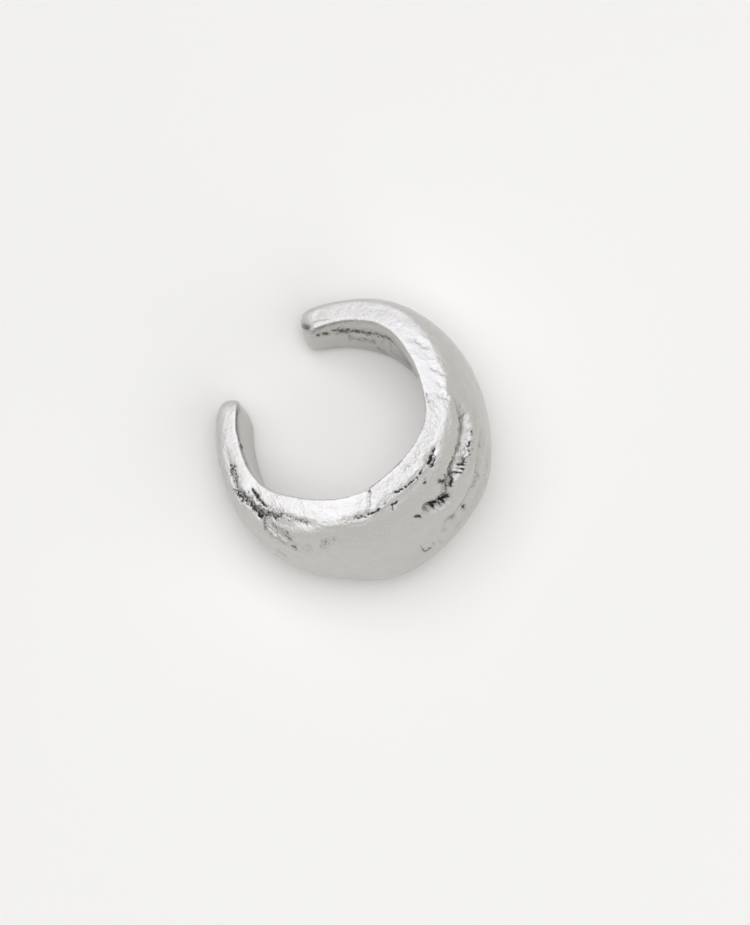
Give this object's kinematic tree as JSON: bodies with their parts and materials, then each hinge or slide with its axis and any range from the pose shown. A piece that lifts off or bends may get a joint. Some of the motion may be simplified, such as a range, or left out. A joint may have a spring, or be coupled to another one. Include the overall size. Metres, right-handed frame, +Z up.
{
  "type": "ear cuff",
  "caption": "Open crescent ear cuff cast in one piece of bright metal, broad and domed opposite its gap, with a furrowed, uneven skin and blunt tips.",
  "frame": {"origin": "on the surface that the cuff lies on, under the middle of its box", "axes": "+Z up from the surface, +X from the gap towards the broad part, +Y towards the upper arm"},
  "size_m": [0.0138, 0.0142, 0.0087],
  "materials": {
    "polished_metal": "cast, tumbled bright and plated in a silver colour, uneven and lightly pitted"
  },
  "bodies": {
    "root": {"cuff": "polished_metal"}
  },
  "joints": []
}
